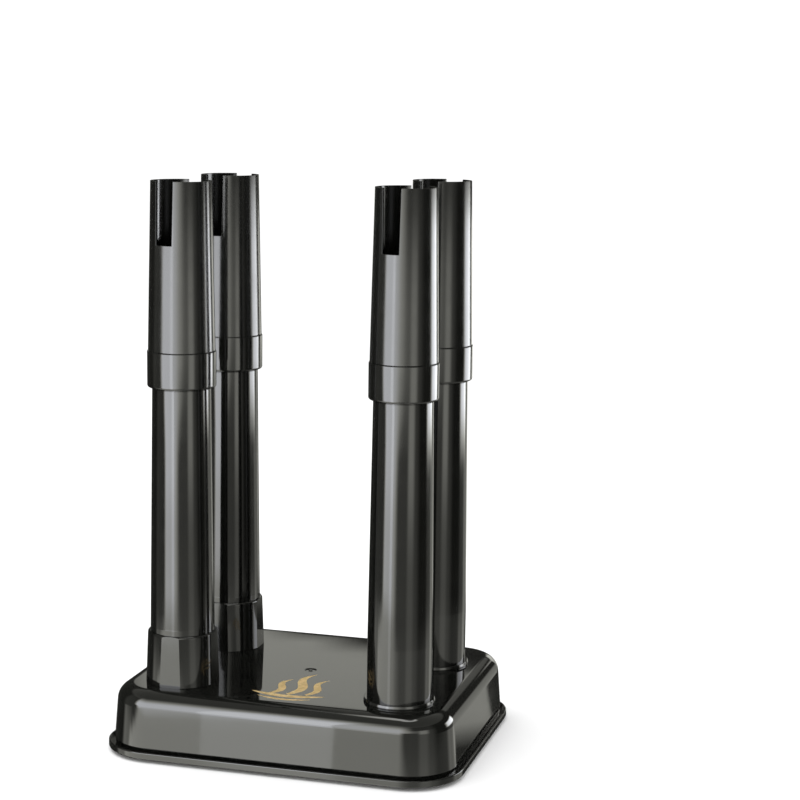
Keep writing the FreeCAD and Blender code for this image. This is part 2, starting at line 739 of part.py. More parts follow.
def make_cord_gland():
    """Bush in the back wall, square to the drafted wall, with the bore for a mains lead."""
    body = new_body("cord_gland")
    tail_end = -(shell_wall + gland_tail)
    crown_radius = gland_flange_radius - 2.2
    turned = turn(body, [
        (gland_bore_radius, tail_end), (gland_lip_radius - 1.2, tail_end),
        (gland_lip_radius, -(shell_wall + 2.5)), (gland_lip_radius, -shell_wall),
        (gland_neck_radius, -shell_wall), (gland_neck_radius, 0), (gland_flange_radius, 0),
        (gland_flange_radius, 1.6), (crown_radius, gland_flange_height),
        (gland_bore_radius, gland_flange_height)])
    round_edges(body, turned, 0.6, ring_at(gland_flange_height, crown_radius))
    rise = gland_height.value - shell_foot.value
    draft = math.radians(wall_draft.value)
    wall_y = shell_half_depth.value - rise * math.tan(draft)
    body.Placement = Placement(Vector(0, wall_y, gland_height.value),
                               Rotation(Vector(1, 0, 0), -90 + wall_draft.value))


def make_cord_clamp():
    """Strap over two posts of the pan, arched where the lead would pass."""
    body = new_body("cord_clamp")
    seat = foot_height + clamp_post_height
    end_x = clamp_post_x + 6.0
    arch_foot_x, arch_top_x, slant = 5.5, 4.2, 1.5
    profile = [(end_x, seat), (end_x, seat + clamp_sheet),
               (arch_foot_x + slant, seat + clamp_sheet),
               (arch_top_x + slant, seat + clamp_arch + clamp_sheet)]
    inside = [(arch_top_x, seat + clamp_arch), (arch_foot_x, seat)]
    across = sketch_on(body, "XZ_Plane", -clamp_y)
    outside_left = [(-Size.of(x), z) for x, z in reversed(profile)]
    inside_left = [(-Size.of(x), z) for x, z in reversed(inside)]
    add_polygon(across, profile + outside_left + inside_left + inside)
    pad(body, across, 9.0, both_ways=True)
    holes = sketch_on(body, "XY_Plane", seat - 0.5)
    for x, y in clamp_posts:
        add_circle(holes, x, y, screw_shank_radius + 0.2)
    cut(body, holes, clamp_sheet + 1)


# ---------------------------------------------------------------- stacks

def make_collar(name, x, y):
    """Faceted sleeve staked to the deck round a left-hand port."""
    body = new_body(f"port_collar_{name}")
    bore = foot_band_radius + fit_gap
    turned = turn(body, [
        (bore, 0), (collar_foot_radius, 0), (collar_foot_radius, 1.0),
        (collar_top_radius, collar_height), (bore, collar_height)])
    round_edges(body, turned, 1.0, ring_at(collar_height, collar_top_radius))
    beyond = -(collar_foot_radius + 5.0)
    facet = sketch_on(body, "YZ_Plane")
    add_polygon(facet, [(-collar_facet_foot, -1.0), (-collar_facet_top, collar_height + 1.0),
                        (beyond, collar_height + 1.0), (beyond, -1.0)])
    flat = cut(body, facet, collar_foot_radius * 2, both_ways=True)
    around(body, flat, 4)
    stakes = sketch_on(body, "XY_Plane", -(shell_wall + 1.2))
    for dx, dy in stake_offsets():
        add_circle(stakes, dx, dy, stake_radius)
    pad(body, stakes, shell_wall + 1.7)
    place(body, x, y, deck_height)


def make_shoulder_ring(name, x, y):
    """Plain ring pressed on the foot of a right-hand tube; it rests on the deck."""
    body = new_body(f"shoulder_ring_{name}")
    turned = turn(body, [(foot_band_radius, 0), (ring_radius, 0), (ring_radius, ring_height),
                         (foot_band_radius, ring_height)])
    round_edges(body, turned, 1.1, ring_at(ring_height, ring_radius))
    place(body, x, y, deck_height)


def make_lower_tube(name, x, y):
    """Tapered tube: spigot in the port, straight foot band, taper, spigot for the coupling."""
    body = new_body(f"lower_tube_{name}")
    inner_spigot = port_spigot_radius - tube_wall
    shoulder = coupling_start - 1.0
    turn(body, [
        (inner_spigot, -port_spigot_length), (port_spigot_radius - 0.8, -port_spigot_length),
        (port_spigot_radius, -(port_spigot_length - 2.0)), (port_spigot_radius, 0),
        (foot_band_radius, 0), (foot_band_radius, foot_band_height),
        (lower_top_radius, shoulder), (lower_spigot_radius, shoulder),
        (lower_spigot_radius, coupling_ledge), (duct_radius, coupling_ledge),
        (duct_radius, shoulder), (foot_band_radius - tube_wall, foot_band_height),
        (foot_band_radius - tube_wall, 4.0), (inner_spigot, 1.0)])
    place(body, x, y, deck_height)


def make_coupling(name, x, y):
    """Turning sleeve: it sits on the lower tube's end and takes the upper tube's spigot."""
    body = new_body(f"coupling_{name}")
    lower_bore = lower_spigot_radius + fit_gap
    upper_bore = upper_spigot_radius + fit_gap
    turned = turn(body, [
        (lower_bore, coupling_start), (coupling_radius, coupling_start),
        (coupling_radius, coupling_top), (upper_bore, coupling_top), (upper_bore, upper_seat),
        (duct_radius, upper_seat), (duct_radius, coupling_ledge), (lower_bore, coupling_ledge)])
    soft = round_edges(body, turned, 2.0, ring_at(coupling_start, coupling_radius))
    round_edges(body, soft, 0.5, ring_at(coupling_top, coupling_radius))
    place(body, x, y, deck_height)


def make_upper_tube(name, x, y):
    """Tapered outlet tube with a notch in its front and back and a spigot below."""
    body = new_body(f"upper_tube_{name}")
    foot = coupling_top + seam_gap
    inner_spigot = upper_spigot_radius - tube_wall
    turned = turn(body, [
        (inner_spigot, upper_seat), (upper_spigot_radius, upper_seat), (upper_spigot_radius, foot),
        (upper_foot_radius, foot), (upper_top_radius, upper_top),
        (upper_top_radius - tube_wall, upper_top), (upper_foot_radius - tube_wall - 0.2, foot + 6.0),
        (inner_spigot, foot + 2.0)])
    round_edges(body, turned, 0.8, ring_at(upper_top, upper_top_radius))
    notch = sketch_on(body, "XZ_Plane")
    wide = notch_half_width + notch_flare
    add_polygon(notch, [(-notch_half_width, notch_floor), (notch_half_width, notch_floor),
                        (wide, upper_top + 5.0), (-wide, upper_top + 5.0)])
    cut(body, notch, upper_foot_radius * 3, both_ways=True)
    place(body, x, y, deck_height)
    body.setExpression("Placement.Rotation.Angle", notch_turn.text)


# ---------------------------------------------------------------- assembly

make_base_shell()
make_bottom_pan()
make_feet()
make_screws("pan_screws", deck_screws, foot_height + pan_screw_sink, screw_head_radius,
            Size.of(2.4), screw_shank_radius, pan_screw_bite, True)
make_heat_tray()
make_screws("tray_screws", tray_screws, tray_top, Size.of(3.0), Size.of(2.0),
            screw_shank_radius - 0.05, Size.of(5.0), False)
make_heater_element()
make_element_terminals()
make_standoffs()
make_clips()
make_screws("clip_screws", clip_screws, tray_top + clip_sheet, Size.of(2.2), Size.of(1.5),
            Size.of(1.2), Size.of(3.4), False)
make_thermal_cutoff()
make_terminal_block()
make_leads()
make_cord_gland()
make_cord_clamp()
make_screws("clamp_screws", clamp_posts, foot_height + clamp_post_height + clamp_sheet,
            Size.of(3.0), Size.of(2.0), screw_shank_radius - 0.05, Size.of(10.0), False)
for name, (x, y) in ports.items():
    make_port_socket(name, x, y)
    if name.endswith("left"):
        make_collar(name, x, y)
    else:
        make_shoulder_ring(name, x, y)
    make_lower_tube(name, x, y)
    make_coupling(name, x, y)
    make_upper_tube(name, x, y)

doc.recompute()
broken = [o.Label for o in doc.Objects if "Invalid" in o.State or "Error" in o.State]
if broken:
    raise RuntimeError(f"objects in error: {broken}")
pieces = [o for o in doc.Objects if o.TypeId in ("PartDesign::Body", "Part::Feature")
          and o.Label != "shell_cavity"]
for piece in pieces:
    if piece.Shape.isNull() or not piece.Shape.isValid() or piece.Shape.Volume <= 0:
        raise RuntimeError(f"{piece.Label}: bad shape")

os.makedirs("parts", exist_ok=True)
for piece in pieces:
    piece.Shape.exportStep(f"parts/{piece.Label}.step")
    box = piece.Shape.BoundBox
    print(f"{piece.Label:28s} solids {len(piece.Shape.Solids)}  volume {piece.Shape.Volume:10.1f}"
          f"  z {box.ZMin:7.2f} to {box.ZMax:7.2f}")
print(len(pieces), "pieces")
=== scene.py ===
import json
import math
import bmesh
import bpy
from mathutils import Matrix, Vector


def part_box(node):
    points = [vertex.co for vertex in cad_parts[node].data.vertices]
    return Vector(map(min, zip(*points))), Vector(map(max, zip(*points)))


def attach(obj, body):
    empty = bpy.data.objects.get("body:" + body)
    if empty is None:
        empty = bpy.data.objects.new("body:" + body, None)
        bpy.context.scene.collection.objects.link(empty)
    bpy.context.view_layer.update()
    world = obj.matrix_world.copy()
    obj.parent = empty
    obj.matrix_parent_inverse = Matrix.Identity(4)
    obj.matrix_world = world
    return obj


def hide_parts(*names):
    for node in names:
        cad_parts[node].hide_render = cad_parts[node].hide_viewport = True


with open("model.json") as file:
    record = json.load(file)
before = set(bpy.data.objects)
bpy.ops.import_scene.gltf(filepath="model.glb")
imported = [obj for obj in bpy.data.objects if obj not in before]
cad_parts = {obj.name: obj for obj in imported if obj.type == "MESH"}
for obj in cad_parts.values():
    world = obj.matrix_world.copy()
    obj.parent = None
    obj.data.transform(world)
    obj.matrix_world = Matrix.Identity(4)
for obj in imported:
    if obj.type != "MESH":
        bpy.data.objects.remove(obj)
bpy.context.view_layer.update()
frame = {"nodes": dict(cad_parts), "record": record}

MM = 0.001
SEGMENTS = 144
CORNER_STEPS = 28
SHARP_ANGLE = 32.0                    # degrees: an edge that turns more than this stays crisp
WALL_DRAFT = math.radians(4.35)       # slope of the housing's walls
PORT_BORE = 25.9                      # inner radius of a port, in millimetres
GLAND_HEIGHT = 24.0                   # cord gland's axis above the floor, in millimetres
PORTS = ("front_left", "rear_left", "front_right", "rear_right")
SLOT_OF = {part["node"]: part["material_slot"] for part in frame["record"]["subparts"]}


# ---------------------------------------------------------------- outlines and rings

def rounded(points, step_angle=9.0):
    """An open line of (a, b) or (a, b, radius) corners, in millimetres, with each corner
    of a given radius turned into an arc. The result is in metres."""
    line = []
    for i, point in enumerate(points):
        here = Vector(point[:2])
        if len(point) < 3 or i in (0, len(points) - 1):
            line.append(here * MM)
            continue
        back = (Vector(points[i - 1][:2]) - here).normalized()
        ahead = (Vector(points[i + 1][:2]) - here).normalized()
        half_turn = (math.pi - back.angle(ahead)) / 2
        centre = here + (back + ahead).normalized() * (point[2] / math.cos(half_turn))
        start = here + back * (point[2] * math.tan(half_turn)) - centre
        steps = max(2, math.ceil(math.degrees(2 * half_turn) / step_angle))
        sign = 1 if back.x * ahead.y - back.y * ahead.x < 0 else -1
        for k in range(steps + 1):
            angle = sign * 2 * half_turn * k / steps
            cos, sin = math.cos(angle), math.sin(angle)
            spoke = Vector((start.x * cos - start.y * sin, start.x * sin + start.y * cos))
            line.append((centre + spoke) * MM)
    return line


def circle_points(x, y, z, radius, segments=SEGMENTS):
    return [Vector((x + radius * math.cos(2 * math.pi * k / segments),
                    y + radius * math.sin(2 * math.pi * k / segments), z))
            for k in range(segments)]


def rectangle_points(x, y, z, half_x, half_y, corner, steps=CORNER_STEPS):
    """A rectangle with round corners, anticlockwise from above."""
    points = []
    for turn, (sx, sy) in enumerate(((1, 1), (-1, 1), (-1, -1), (1, -1))):
        for k in range(steps + 1):
            angle = math.pi / 2 * (turn + k / steps)
            points.append(Vector((x + sx * (half_x - corner) + corner * math.cos(angle),
                                  y + sy * (half_y - corner) + corner * math.sin(angle), z)))
    return points


def ring(bm, points):
    return [bm.verts.new(p) for p in points]


def bridge(bm, rings, closed=False):
    """Quads between each ring and the next."""
    pairs = list(zip(rings, rings[1:]))
    if closed:
        pairs.append((rings[-1], rings[0]))
    for first, second in pairs:
        count = len(first)
        for k in range(count):
            after = (k + 1) % count
            bm.faces.new((first[k], first[after], second[after], second[k]))


def lathe(bm, line, x=0.0, y=0.0, z=0.0, closed=False, segments=SEGMENTS):
    """Rings round a vertical axis through (radius, height) points, bridged."""
    rings = [ring(bm, circle_points(x, y, z + point.y, point.x, segments)) for point in line]
    bridge(bm, rings, closed)
    return rings


def around_rectangle(bm, line, half_x, half_y, corner):
    """Rings inset from a round-cornered rectangle through (inset, height) points, bridged."""
    rings = [ring(bm, rectangle_points(0, 0, point.y, half_x - point.x, half_y - point.x,
                                       corner - point.x))
             for point in line]
    bridge(bm, rings)
    return rings


def fill(bm, loops):
    """A flat face between an outer loop and the loops inside it."""
    edges = []
    for loop in loops:
        for k, vertex in enumerate(loop):
            after = loop[(k + 1) % len(loop)]
            edges.append(bm.edges.get((vertex, after)) or bm.edges.new((vertex, after)))
    bmesh.ops.triangle_fill(bm, edges=edges, use_beauty=True)


def cap(bm, loop):
    centre = bm.verts.new(sum((v.co for v in loop), Vector()) / len(loop))
    for k, vertex in enumerate(loop):
        bm.faces.new((vertex, loop[(k + 1) % len(loop)], centre))


def thick_grid(bm, outer, inner, keep):
    """A wall between two grids of points, level by column and closed round the columns.
    keep(level, column) tells whether the cell above and after that point exists."""
    levels, columns = len(outer), len(outer[0])
    sides = [[ring(bm, row) for row in outer], [ring(bm, row) for row in inner]]
    kept = {(i, j) for i in range(levels - 1) for j in range(columns) if keep(i, j)}
    for i, j in kept:
        after = (j + 1) % columns
        for side in sides:
            bm.faces.new((side[i][j], side[i][after], side[i + 1][after], side[i + 1][j]))
        edges = (((i - 1, j), (i, j), (i, after)), ((i + 1, j), (i + 1, after), (i + 1, j)),
                 ((i, (j - 1) % columns), (i + 1, j), (i, j)),
                 ((i, after), (i, after), (i + 1, after)))
        for neighbour, (a, b), (c, d) in edges:
            if neighbour not in kept:
                bm.faces.new((sides[0][a][b], sides[0][c][d], sides[1][c][d], sides[1][a][b]))


def make_piece(bm, name, body, slot, replaced, sharp=SHARP_ANGLE, bevel=0.0):
    """Turn a mesh into a smooth-shaded object that rides on a body."""
    bmesh.ops.remove_doubles(bm, verts=bm.verts, dist=1e-7)
    bmesh.ops.dissolve_degenerate(bm, edges=bm.edges, dist=1e-7)
    loose = [v for v in bm.verts if not v.link_faces]
    bmesh.ops.delete(bm, geom=loose, context="VERTS")
    bmesh.ops.recalc_face_normals(bm, faces=bm.faces)
    mesh = bpy.data.meshes.new(name)
    bm.to_mesh(mesh)
    bm.free()
    for polygon in mesh.polygons:
        polygon.use_smooth = True
    mesh.set_sharp_from_angle(angle=math.radians(sharp))
    piece = bpy.data.objects.new(name, mesh)
    bpy.context.scene.collection.objects.link(piece)
    if bevel:
        edge = piece.modifiers.new("edge", "BEVEL")
        edge.width = bevel
        edge.segments = 3
        edge.limit_method = "ANGLE"
        edge.angle_limit = math.radians(sharp)
        edge.use_clamp_overlap = True
        edge.harden_normals = False
    normals = piece.modifiers.new("normals", "WEIGHTED_NORMAL")
    normals.keep_sharp = True
    mesh.materials.append(MATERIALS[slot])
    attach(piece, body)
    if replaced:
        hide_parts(replaced)
    return piece


# ---------------------------------------------------------------- materials

class Nodes:
    """Short names for building one material's node tree."""

    def __init__(self, name):
        self.material = bpy.data.materials.new(name)
        self.material.use_nodes = True
        self.tree = self.material.node_tree
        self.shader = self.tree.nodes["Principled BSDF"]
        self.place = self.tree.nodes.new("ShaderNodeTexCoord").outputs["Object"]

    def link(self, output, socket):
        self.tree.links.new(output, socket)

    def stretched(self, x, y, z):
        """Object coordinates scaled along each axis."""
        mapping = self.tree.nodes.new("ShaderNodeMapping")
        mapping.inputs["Scale"].default_value = (x, y, z)
        self.link(self.place, mapping.inputs["Vector"])
        return mapping.outputs["Vector"]

    def noise(self, scale, detail=3.0, roughness=0.5, place=None):
        node = self.tree.nodes.new("ShaderNodeTexNoise")
        node.inputs["Scale"].default_value = scale
        node.inputs["Detail"].default_value = detail
        node.inputs["Roughness"].default_value = roughness
        self.link(place or self.place, node.inputs["Vector"])
        return node.outputs["Fac"]

    def remap(self, value, low, high, from_low=0.3, from_high=0.7):
        node = self.tree.nodes.new("ShaderNodeMapRange")
        node.inputs["From Min"].default_value = from_low
        node.inputs["From Max"].default_value = from_high
        node.inputs["To Min"].default_value = low
        node.inputs["To Max"].default_value = high
        self.link(value, node.inputs["Value"])
        return node.outputs["Result"]

    def ramp(self, value, first, second, low=0.35, high=0.65):
        node = self.tree.nodes.new("ShaderNodeValToRGB")
        node.color_ramp.elements[0].position = low
        node.color_ramp.elements[0].color = (*first, 1)
        node.color_ramp.elements[1].position = high
        node.color_ramp.elements[1].color = (*second, 1)
        self.link(value, node.inputs["Fac"])
        return node.outputs["Color"]

    def bump(self, value, distance, strength=1.0, onto=None):
        node = self.tree.nodes.new("ShaderNodeBump")
        node.inputs["Strength"].default_value = strength
        node.inputs["Distance"].default_value = distance
        self.link(value, node.inputs["Height"])
        if onto is not None:
            self.link(onto, node.inputs["Normal"])
        return node.outputs["Normal"]


def gloss_plastic(name, first, second, gloss, dull, wave, peel):
    """Polished moulded plastic: cloudy colour and gloss, slow waves and a fine orange peel.
    gloss and dull are the roughness at its ends, wave and peel are depths in metres."""
    n = Nodes(name)
    n.link(n.ramp(n.noise(22.0), first, second), n.shader.inputs["Base Color"])
    n.link(n.remap(n.noise(60.0, 6.0, 0.6), gloss, dull), n.shader.inputs["Roughness"])
    slow = n.bump(n.noise(14.0, 1.0), wave)
    n.link(n.bump(n.noise(900.0, 2.0), peel, onto=slow), n.shader.inputs["Normal"])
    n.shader.inputs["IOR"].default_value = 1.5
    return n.material


def matte_plastic(name, first, second, roughness, grain):
    """Spark-eroded or cast surface with a fine even grain, whose depth is in metres."""
    n = Nodes(name)
    n.link(n.ramp(n.noise(80.0, 4.0), first, second), n.shader.inputs["Base Color"])
    n.link(n.remap(n.noise(240.0), roughness - 0.08, roughness + 0.08),
           n.shader.inputs["Roughness"])
    n.link(n.bump(n.noise(2600.0, 3.0), grain), n.shader.inputs["Normal"])
    n.shader.inputs["IOR"].default_value = 1.48
    return n.material


def metal(name, first, second, gloss, dull, stretch, grain):
    """Bare metal with rolled or drawn streaks along the axis that stretch leaves longest."""
    n = Nodes(name)
    streaks = n.noise(1.0, 5.0, 0.6, n.stretched(*stretch))
    n.link(n.ramp(n.noise(45.0, 5.0), first, second), n.shader.inputs["Base Color"])
    n.link(n.remap(streaks, gloss, dull), n.shader.inputs["Roughness"])
    n.link(n.bump(streaks, grain), n.shader.inputs["Normal"])
    n.shader.inputs["Metallic"].default_value = 1.0
    return n.material


def braided(name, first, second):
    """Woven sleeve: two crossed sets of fine bands."""
    n = Nodes(name)
    weave = []
    for sideways in (1, -1):
        wave = n.tree.nodes.new("ShaderNodeTexWave")
        wave.wave_type = "BANDS"
        wave.bands_direction = "DIAGONAL"
        wave.inputs["Scale"].default_value = 420.0
        wave.inputs["Distortion"].default_value = 0.6
        n.link(n.stretched(1, sideways, 1), wave.inputs["Vector"])
        weave.append(wave.outputs["Fac"])
    both = n.tree.nodes.new("ShaderNodeMath")
    both.operation = "MULTIPLY"
    n.link(weave[0], both.inputs[0])
    n.link(weave[1], both.inputs[1])
    n.link(n.ramp(both.outputs[0], first, second, 0.0, 0.8), n.shader.inputs["Base Color"])
    n.link(n.bump(both.outputs[0], 0.00015), n.shader.inputs["Normal"])
    n.shader.inputs["Roughness"].default_value = 0.75
    return n.material


GLOSSY = {
    "housing_abs": ((0.0034, 0.0036, 0.0031), (0.0052, 0.0054, 0.0046),
                    0.018, 0.050, 0.00002, 0.0000005),
    "pan_abs": ((0.0036, 0.0038, 0.0033), (0.0056, 0.0058, 0.0050),
                0.08, 0.14, 0.00002, 0.0000005),
    "tube_abs": ((0.0030, 0.0031, 0.0027), (0.0048, 0.0049, 0.0042),
                 0.07, 0.13, 0.00002, 0.0000006),
    "coupling_abs": ((0.0034, 0.0035, 0.0030), (0.0052, 0.0053, 0.0045),
                     0.09, 0.15, 0.00003, 0.0000008),
    "collar_abs": ((0.0032, 0.0034, 0.0029), (0.0050, 0.0052, 0.0044),
                   0.05, 0.10, 0.00002, 0.0000006),
}
MATTE = {
    "foot_rubber": ((0.012, 0.012, 0.012), (0.022, 0.022, 0.021), 0.78, 0.00004),
    "gland_plastic": ((0.008, 0.008, 0.008), (0.014, 0.014, 0.013), 0.48, 0.00002),
    "clamp_plastic": ((0.012, 0.012, 0.012), (0.020, 0.020, 0.019), 0.52, 0.00002),
    "block_plastic": ((0.56, 0.55, 0.49), (0.66, 0.65, 0.59), 0.50, 0.00002),
    "ceramic": ((0.66, 0.63, 0.56), (0.76, 0.74, 0.68), 0.38, 0.00001),
}
METAL = {
    "screw_steel": ((0.46, 0.46, 0.47), (0.60, 0.60, 0.61), 0.22, 0.38,
                    (400, 400, 90), 0.000004),
    "tray_aluminium": ((0.72, 0.72, 0.73), (0.82, 0.82, 0.82), 0.20, 0.36,
                       (14, 900, 900), 0.000003),
    "element_sheath": ((0.16, 0.13, 0.10), (0.30, 0.27, 0.25), 0.38, 0.55,
                       (60, 60, 300), 0.000005),
    "terminal_steel": ((0.48, 0.47, 0.45), (0.62, 0.61, 0.58), 0.25, 0.40,
                       (300, 60, 300), 0.000003),
    "clip_steel": ((0.48, 0.48, 0.48), (0.60, 0.60, 0.60), 0.26, 0.42,
                   (400, 60, 400), 0.000003),
    "cutoff_steel": ((0.52, 0.50, 0.44), (0.66, 0.64, 0.58), 0.24, 0.38,
                     (300, 300, 60), 0.000003),
}
MATERIALS = {}
for maker, kinds in ((gloss_plastic, GLOSSY), (matte_plastic, MATTE), (metal, METAL)):
    for kind, values in kinds.items():
        MATERIALS[kind] = maker(kind, *values)
MATERIALS["lead_insulation"] = braided("lead_insulation", (0.34, 0.32, 0.27), (0.66, 0.63, 0.55))


def gold_foil():
    """Hot-stamped foil: warm metal that is slightly broken where it lies on the plastic."""
    n = Nodes("emblem_foil")
    n.link(n.ramp(n.noise(190.0, 6.0), (0.60, 0.42, 0.17), (0.82, 0.61, 0.30)),
           n.shader.inputs["Base Color"])
    n.link(n.remap(n.noise(420.0, 4.0), 0.34, 0.55), n.shader.inputs["Roughness"])
    n.link(n.bump(n.noise(1500.0, 3.0), 0.000012), n.shader.inputs["Normal"])
    n.shader.inputs["Metallic"].default_value = 0.55
    return n.material


MATERIALS["emblem_foil"] = gold_foil()
SATIN_TUBE = gloss_plastic("tube_abs_satin", (0.0032, 0.0033, 0.0029), (0.0050, 0.0051, 0.0044),
                           0.14, 0.21, 0.00003, 0.0000006)

for node_name, node in frame["nodes"].items():
    for slot in node.material_slots:
        slot.material = MATERIALS[SLOT_OF[node_name]]


# ---------------------------------------------------------------- places from the frame

def port_centre(port):
    low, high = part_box(f"lower_tube_{port}")
    return (low.x + high.x) / 2, (low.y + high.y) / 2


PORT_CENTRES = {port: port_centre(port) for port in PORTS}
shell_low, shell_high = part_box("base_shell")
pan_low, pan_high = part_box("bottom_pan")
DECK = shell_high.z
DECK_MM = DECK / MM
ROW_SHIFT = sum(y for _, y in PORT_CENTRES.values()) / 4
SCREW_PLACES = [(sx * 95.6 * MM, y * MM) for sx in (-1, 1) for y in (-102.5, 98.0)]
SCREW_PLACES += [(-128.0 * MM, ROW_SHIFT), (128.0 * MM, ROW_SHIFT)]


# ---------------------------------------------------------------- base

def combine(piece, bm, operation):
    """Add a solid to a piece or cut it away, for good."""
    data = bpy.data.meshes.new("tool")
    bmesh.ops.recalc_face_normals(bm, faces=bm.faces)
    bm.to_mesh(data)
    bm.free()
    tool = bpy.data.objects.new("tool", data)
    bpy.context.scene.collection.objects.link(tool)
    modifier = piece.modifiers.new("tool", "BOOLEAN")
    modifier.object = tool
    modifier.operation = operation
    modifier.solver = "EXACT"
    piece.modifiers.move(len(piece.modifiers) - 1, 0)
    normals = piece.modifiers["normals"]
    normals.show_viewport = False
    bpy.context.view_layer.update()
    evaluated = piece.evaluated_get(bpy.context.evaluated_depsgraph_get())
    piece.data = bpy.data.meshes.new_from_object(evaluated)
    piece.modifiers.remove(modifier)
    normals.show_viewport = True
    bpy.data.objects.remove(tool)
    piece.data.set_sharp_from_angle(angle=math.radians(SHARP_ANGLE))


def make_housing():
    """Moulded housing: drafted walls, round deck edge, port holes, bosses and gate mark."""
    foot = shell_low.z / MM
    wall, edge_radius, deck_inset = 2.8, 14.0, 22.0
    slope = math.tan(WALL_DRAFT)
    under = DECK_MM - wall
    outer_corner = 40.2
    line = rounded([
        (deck_inset, under), (wall + slope * (under - foot), under, edge_radius - wall),
        (wall, foot), (0, foot, 0.4), (slope * (DECK_MM - foot), DECK_MM, edge_radius),
        (deck_inset, DECK_MM)], 4.0)
    bm = bmesh.new()
    rings = around_rectangle(bm, line, shell_high.x, shell_high.y, outer_corner * MM)
    top_loops, under_loops = [rings[-1]], [rings[0]]
    for x, y in PORT_CENTRES.values():
        port = lathe(bm, rounded([(PORT_BORE + 1.0, DECK_MM), (PORT_BORE, DECK_MM, 0.6),
                                  (PORT_BORE, under)]), x, y)
        top_loops.append(port[0])
        under_loops.append(port[-1])
    gate = lathe(bm, rounded([(5.5, DECK_MM), (5.2, DECK_MM, 0.3), (4.7, DECK_MM - 0.8),
                              (1.9, DECK_MM - 0.8), (1.5, DECK_MM - 0.1, 0.3),
                              (0.4, DECK_MM - 0.1)]), 0, ROW_SHIFT, segments=48)
    top_loops.append(gate[0])
    cap(bm, gate[-1])
    fill(bm, top_loops)
    fill(bm, under_loops)
    housing = make_piece(bm, "housing", "root", "housing_abs", "base_shell")

    bosses = bmesh.new()
    for x, y in SCREW_PLACES:
        boss = lathe(bosses, rounded([(4.5, under + 0.4), (4.5, foot), (1.5, foot),
                                      (1.5, foot + 16.0)]), x, y, segments=32)
        cap(bosses, boss[0])
        cap(bosses, boss[-1])
    combine(housing, bosses, "UNION")

    gland_low, gland_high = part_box("cord_gland")
    gland_hole, hole_radius = bmesh.new(), 6.7 * MM
    bmesh.ops.create_cone(gland_hole, cap_ends=True, segments=64, radius1=hole_radius,
                          radius2=hole_radius, depth=24 * MM)
    middle = Vector((0, shell_high.y, (gland_low.z + gland_high.z) / 2))
    gland_hole.transform(Matrix.Translation(middle) @ Matrix.Rotation(math.pi / 2, 4, "X"))
    combine(housing, gland_hole, "DIFFERENCE")


def make_socket(port):
    """Sleeve cemented under a port hole."""
    x, y = PORT_CENTRES[port]
    low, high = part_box(f"port_socket_{port}")
    foot, top = low.z / MM, high.z / MM
    bm = bmesh.new()
    outside = PORT_BORE + 2.0
    lathe(bm, rounded([(PORT_BORE, top), (PORT_BORE, foot, 0.5), (outside, foot, 0.5),
                       (outside, top)]), x, y, closed=True)
    make_piece(bm, f"socket_{port}", "root", "housing_abs", f"port_socket_{port}")


def make_pan():
    """Tray under the housing: lipped rim, groove, seat, air slots and screw wells."""
    under, floor, seat = pan_low.z / MM, 5.5, 10.8
    floor_inset, outer_corner = 11.5, 45.5
    line = rounded([
        (floor_inset, under), (0, under, 1.2), (0, 8.8, 0.9), (2.0, 8.8, 0.7), (2.0, 6.5, 0.4),
        (6.3, 6.5, 0.4), (6.3, seat, 0.3), (8.7, seat), (8.7, 14.8, 0.3), (10.5, 14.8, 0.3),
        (10.5, floor), (floor_inset, floor)])
    bm = bmesh.new()
    rings = around_rectangle(bm, line, pan_high.x, pan_high.y, outer_corner * MM)
    under_loops, floor_loops = [rings[0]], [rings[-1]]
    slot_pitch = 9.0
    for x, y in PORT_CENTRES.values():
        for step in range(-2, 3):
            slot_x = x + step * slot_pitch * MM
            slot = [ring(bm, rectangle_points(slot_x, y, z * MM, 2.0 * MM, 16.0 * MM, 1.0 * MM, 4))
                    for z in (under, floor)]
            bridge(bm, slot)
            under_loops.append(slot[0])
            floor_loops.append(slot[1])
    for x, y in SCREW_PLACES:
        well = lathe(bm, rounded([(4.5, under), (4.2, under, 0.3), (4.2, under + 5.0),
                                  (1.75, under + 5.0), (1.75, seat), (6.5, seat, 0.3),
                                  (6.5, floor)]), x, y, segments=48)
        under_loops.append(well[0])
        floor_loops.append(well[-1])
    posts = [(sx * 30.0, y, 14.0) for sx in (-1, 1) for y in (-84.0, 70.0)]
    posts += [(sx * 11.0, 97.0, 22.0) for sx in (-1, 1)]
    for x, y, top in posts:
        post = lathe(bm, rounded([(4.5, floor), (4.5, top, 0.3), (1.45, top), (1.45, 9.0)]),
                     x * MM, y * MM, segments=32)
        floor_loops.append(post[0])
        cap(bm, post[-1])
    fill(bm, under_loops)
    fill(bm, floor_loops)
    make_piece(bm, "pan", "root", "pan_abs", "bottom_pan")


def make_feet():
    """Rubber feet: grooved tread, pad, stem and retaining head."""
    for port in PORTS:
        low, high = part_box(f"foot_{port}")
        x, y = (low.x + high.x) / 2, (low.y + high.y) / 2
        bm = bmesh.new()
        rings = lathe(bm, rounded([
            (2.0, 0.0), (4.0, 0.0, 0.2), (4.4, 0.5, 0.2), (5.6, 0.5, 0.2), (6.0, 0.0, 0.2),
            (8.0, 0.0, 0.2), (8.4, 0.5, 0.2), (9.6, 0.5, 0.2), (10.0, 0.0, 0.2),
            (12.0, 0.0, 0.5), (13.0, 1.5, 0.5), (13.0, 3.0, 0.3), (3.9, 3.0), (3.9, 5.5),
            (5.2, 5.9, 0.2), (3.0, 9.0, 0.4), (0.8, 9.0)], 20.0), x, y, segments=64)
        cap(bm, rings[0])
        cap(bm, rings[-1])
        make_piece(bm, f"rubber_{port}", "root", "foot_rubber", f"foot_{port}")


